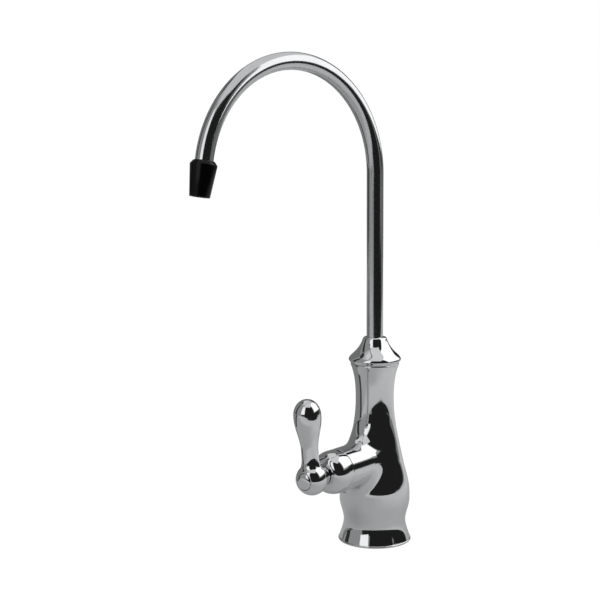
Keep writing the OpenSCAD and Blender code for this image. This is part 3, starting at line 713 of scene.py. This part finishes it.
# %% [markdown]
# ## Studio
# Chrome has no colour of its own: it shows the room. A ready-made picture of a room could be hung round the tap. Here
# the room is painted on the world as soft patches by direction, so that each can be moved by itself, the way a product
# studio is hung with pale cards and black flags under a bright ceiling. Seen by the camera the world is plain white,
# and so is most of the floor, which keeps a trace of the tap's shadow.

# %% World with its bearings and heights
ROOM_TURN = 48.4
world = bpy.data.worlds.new("studio_room")
bpy.context.scene.world = world
world.use_nodes = True
room = world.node_tree
background = room.nodes["Background"]


def room_math(operation, a, b=None, c=None):
    """A math node of the room; each operand is a number or another node's output."""
    node = add(room, "ShaderNodeMath", operation=operation)
    for index, value in enumerate((a, b, c)):
        if isinstance(value, bpy.types.NodeSocket):
            room.links.new(value, node.inputs[index])
        elif value is not None:
            node.inputs[index].default_value = value
    return node.outputs[0]


sight = add(room, "ShaderNodeTexCoord")
turned_room = add(room, "ShaderNodeMapping", vector_type="VECTOR")
turned_room.inputs["Rotation"].default_value = (0, 0, math.radians(-ROOM_TURN))
parts = add(room, "ShaderNodeSeparateXYZ")
room.links.new(sight.outputs["Generated"], turned_room.inputs["Vector"])
room.links.new(turned_room.outputs["Vector"], parts.inputs["Vector"])
bearing = room_math("ARCTAN2", parts.outputs["X"], room_math("MULTIPLY", parts.outputs["Y"], -1.0))
height = room_math("ARCSINE", parts.outputs["Z"])
print("room turned to the camera by", ROOM_TURN, "degrees")

# %% Room of cards and flags
DARK, ROOM_GREY, MATTE_SHARE = 0.015, 0.30, 0.15


def card(centre, half, power, soft):
    """Mask of a rounded card: bearing from the camera to the right and height, in degrees."""
    middle = math.radians(centre[0])
    away = room_math("WRAP", room_math("SUBTRACT", bearing, middle), math.pi, -math.pi)
    across = room_math("POWER", room_math("ABSOLUTE", room_math("DIVIDE", away, math.radians(half[0]))), power)
    rise = room_math("SUBTRACT", height, math.radians(centre[1]))
    along = room_math("POWER", room_math("ABSOLUTE", room_math("DIVIDE", rise, math.radians(half[1]))), power)
    edge = room_math("SUBTRACT", 1.0, room_math("ADD", across, along))
    ramp = add(room, "ShaderNodeMapRange", interpolation_type="SMOOTHSTEP", set={"From Min": -soft, "From Max": soft})
    room.links.new(edge, ramp.inputs["Value"])
    return ramp.outputs["Result"]


# Name, middle (bearing, height), half size, squareness, softness of the edge and brightness of each card. A later card
# covers an earlier one.
cards = [
    ("beyond the worktop", (0, -90), (400, 90), 30.0, 0.5, 0.33),
    ("wall behind", (180, 26), (55, 31), 6.0, 0.3, 0.19),
    ("low on the right", (105, -14), (38, 18), 6.0, 0.3, 0.19),
    ("ceiling", (0, 90), (400, 33), 6.0, 0.25, 0.52),
    ("ceiling's middle", (0, 90), (400, 17), 6.0, 0.4, 0.66),
    ("low on the left", (-115, -6), (30, 8), 6.0, 0.3, 0.14),
    ("flag on the left", (-105, 21), (8.5, 29), 4.0, 0.3, 0.03),
    ("flag high on the left", (-124, 55), (18, 6), 4.0, 0.3, 0.04),
    ("flag behind on the right", (159, 8), (16, 18), 4.0, 0.3, 0.02),
    ("dark room in front", (20, 3), (40, 58), 8.0, 0.15, DARK),
    ("dark room's foot", (24, -22), (46, 25), 8.0, 0.15, DARK),
    ("dark floor on the right", (79, -19), (18, 14), 8.0, 0.15, DARK),
    ("dark room's skirting", (7, 6), (55, 9), 8.0, 0.15, DARK),
    ("skirting on the right", (90, 7), (31, 8), 8.0, 0.15, DARK),
]
light = ROOM_GREY
for _, centre, half, power, soft, value in cards:
    mask = card(centre, half, power, soft)
    light = room_math("ADD", room_math("MULTIPLY", mask, room_math("SUBTRACT", value, light)), light)
paths = add(room, "ShaderNodeLightPath")
in_metal = room_math("MULTIPLY_ADD", paths.outputs["Is Glossy Ray"], 1 - MATTE_SHARE, MATTE_SHARE)
light = room_math("MULTIPLY", light, in_metal)
shown = room_math("MAXIMUM", paths.outputs["Is Camera Ray"], light)
room.links.new(shown, background.inputs["Strength"])
background.inputs["Color"].default_value = (1, 1, 1, 1)
print("cards", [c[0] for c in cards])

# %% [markdown]
# ## Soft boxes
# Two tall soft boxes stand beside the camera, and a low dark board on the right. They could be painted on the world as
# well, but they are near, so a high piece such as the gooseneck sees them lower than the body does. Real panels give
# that for nothing. The camera itself doesn't see them.

# %% Soft boxes
def across_room(bearing_deg, distance):
    """A place on the worktop by its bearing to the right of the camera, seen from the tap."""
    turned = math.radians(ROOM_TURN - 90 + bearing_deg)
    return Vector((math.cos(turned), math.sin(turned), 0)) * distance


def plain_glow(name, strength):
    """A material that only shines, evenly."""
    glow = bpy.data.materials.new(name)
    glow.use_nodes = True
    glow.node_tree.nodes.remove(glow.node_tree.nodes["Principled BSDF"])
    lit = add(glow.node_tree, "ShaderNodeEmission", set={"Strength": strength})
    glow.node_tree.links.new(lit.outputs[0], glow.node_tree.nodes["Material Output"].inputs["Surface"])
    return glow


def soft_box(name, bearing_deg, distance, left, right, low, high, strength):
    """An upright glowing panel, square to a bearing, from left to right and from low to high."""
    middle, way = across_room(bearing_deg, distance), across_room(bearing_deg + 90, 1)
    panel_bm = bmesh.new()
    bmesh.ops.create_grid(panel_bm, x_segments=1, y_segments=1, size=0.5)
    width, tall = right - left, high - low
    facing = across_room(bearing_deg, -1)
    stand = Matrix((way * width, Vector((0, 0, tall)), facing)).transposed().to_4x4()
    stand.translation = middle + way * (left + right) / 2 + Vector((0, 0, (low + high) / 2))
    bmesh.ops.transform(panel_bm, matrix=stand, verts=panel_bm.verts[:])
    panel = object_from(name, panel_bm)
    panel.visible_camera = False
    panel.data.materials.append(plain_glow(name, strength))
    print(name, "at", [round(v, 2) for v in stand.translation])


soft_box("soft_box_left", -38, 0.90, left=-0.225, right=0.225, low=0.20, high=1.31, strength=1.1)
soft_box("soft_box_right", 72, 0.58, left=-0.11, right=1.57, low=0.29, high=1.75, strength=1.35)
soft_box("dark_board", 77, 1.0, left=-0.30, right=0.22, low=0.0, high=0.10, strength=DARK)

# %% [markdown]
# ## Worktop
# The tap stands on a pale sheet. Its edge towards the dark room is near, and the polished metal shows that edge. A
# plain square would hide the room, so the sheet is a grid that is cut along two lines, in front and on the right. To
# the camera it glows nearly white and keeps a trace of the shadow; in the metal it is the light grey of a lit sheet.

# %% Pale sheet under the tap
SHEET_HALF, SHEET_Z = 1.6, -0.0002
SHEET_CUTS = ((33, 0.42), (95, 1.0))
floor_bm = bmesh.new()
bmesh.ops.create_grid(floor_bm, x_segments=2, y_segments=2, size=SHEET_HALF,
                      matrix=Matrix.Translation((0, 0, SHEET_Z)))
for bearing_deg, distance in SHEET_CUTS:
    edge_way = across_room(bearing_deg, 1)
    bmesh.ops.bisect_plane(floor_bm, geom=floor_bm.verts[:] + floor_bm.edges[:] + floor_bm.faces[:],
                           plane_co=edge_way * distance, plane_no=edge_way, clear_outer=True)
floor = object_from("pale_floor", floor_bm)

floor_material = bpy.data.materials.new("pale_floor")
floor_material.use_nodes = True
tree = floor_material.node_tree
matte = tree.nodes["Principled BSDF"]
matte.inputs["Base Color"].default_value = (0.9, 0.9, 0.9, 1)
matte.inputs["Roughness"].default_value = 0.9
matte.inputs["Specular IOR Level"].default_value = 0.0
seen = add(tree, "ShaderNodeLightPath")
shown = matte.outputs[0]
for ray, portion, strength in (("Is Glossy Ray", 0.5, 0.42), ("Is Camera Ray", 0.9, 1.09)):
    glow = add(tree, "ShaderNodeEmission", set={"Strength": strength})
    share = add(tree, "ShaderNodeMath", operation="MULTIPLY", set={1: portion})
    mix = add(tree, "ShaderNodeMixShader")
    tree.links.new(seen.outputs[ray], share.inputs[0])
    tree.links.new(share.outputs[0], mix.inputs[0])
    tree.links.new(shown, mix.inputs[1])
    tree.links.new(glow.outputs[0], mix.inputs[2])
    shown = mix.outputs[0]
tree.links.new(shown, tree.nodes["Material Output"].inputs["Surface"])
floor.data.materials.append(floor_material)
print("floor at", round(floor.data.vertices[0].co.z, 5))

# %% [markdown]
# ## Painted shadow, painted shade and panel
# A dark strip on the sheet to the left is a painted shadow of the tap and draws the fine upright line in the neck.
# A grey sheet behind it is painted shade on the sheet on the tap's shadow side and gives the round side its shade, and
# a pale panel hangs low over the tap. They could be painted on the sheet and the world, but as sheets of their own
# they keep their place when a piece is seen from higher up. Only the metal sees them.

# %% Painted shadow and shade on the sheet, and the panel overhead
def metal_only_sheet(name, strength, height, *corners):
    """A level sheet that only the polished metal sees, with corners by bearing and distance."""
    sheet_bm = bmesh.new()
    lift = Vector((0, 0, height))
    bmesh.ops.contextual_create(sheet_bm, geom=[sheet_bm.verts.new(across_room(*c) + lift) for c in corners])
    sheet = object_from(name, sheet_bm)
    sheet.visible_camera = sheet.visible_diffuse = sheet.visible_shadow = False
    sheet.data.materials.append(plain_glow(name, strength))
    print(name, len(corners), "corners")


# A dark strip on the sheet to the left: a painted shadow of the tap, seen only in the metal
metal_only_sheet("dark_strip", 0.05, 0.0003, (-107, 0.20), (-97, 1.6), (-84, 1.6), (-92, 0.20))
# A grey sheet behind the strip: painted shade on the sheet on the tap's shadow side, seen only in the metal
metal_only_sheet("grey_paper", 0.25, 0.0001, (-175, 0.16), (-175, 1.6), (-97, 1.6), (-107, 0.16))
metal_only_sheet("panel_overhead", 0.72, 0.68, (-31, 0.49), (31, 0.49), (153, 0.56), (-153, 0.56))

# %% [markdown]
# ## Lamps
# Two lamps light what is not mirror: the black nozzle, the sheet and the rubber. Near lamps would leave a bright spot
# on the sheet, so both are suns, one with a very wide disc overhead and one from the right that throws the tap's
# shadow. They don't show in the metal, which already has the room.

# %% Soft lamps
lamps = [("high_lamp", -30, 65, 50, 0.7), ("side_lamp", 84, 30, 7, 2.2)]
for label, bearing_deg, height_deg, spread_deg, power in lamps:
    lamp_data = bpy.data.lights.new(label, "SUN")
    lamp_data.angle = math.radians(spread_deg)
    lamp_data.energy = power
    lamp = bpy.data.objects.new(label, lamp_data)
    shine = across_room(bearing_deg, -1) - Vector((0, 0, math.tan(math.radians(height_deg))))
    lamp.rotation_euler = shine.to_track_quat("-Z", "Y").to_euler()
    lamp.visible_glossy = False
    bpy.context.collection.objects.link(lamp)
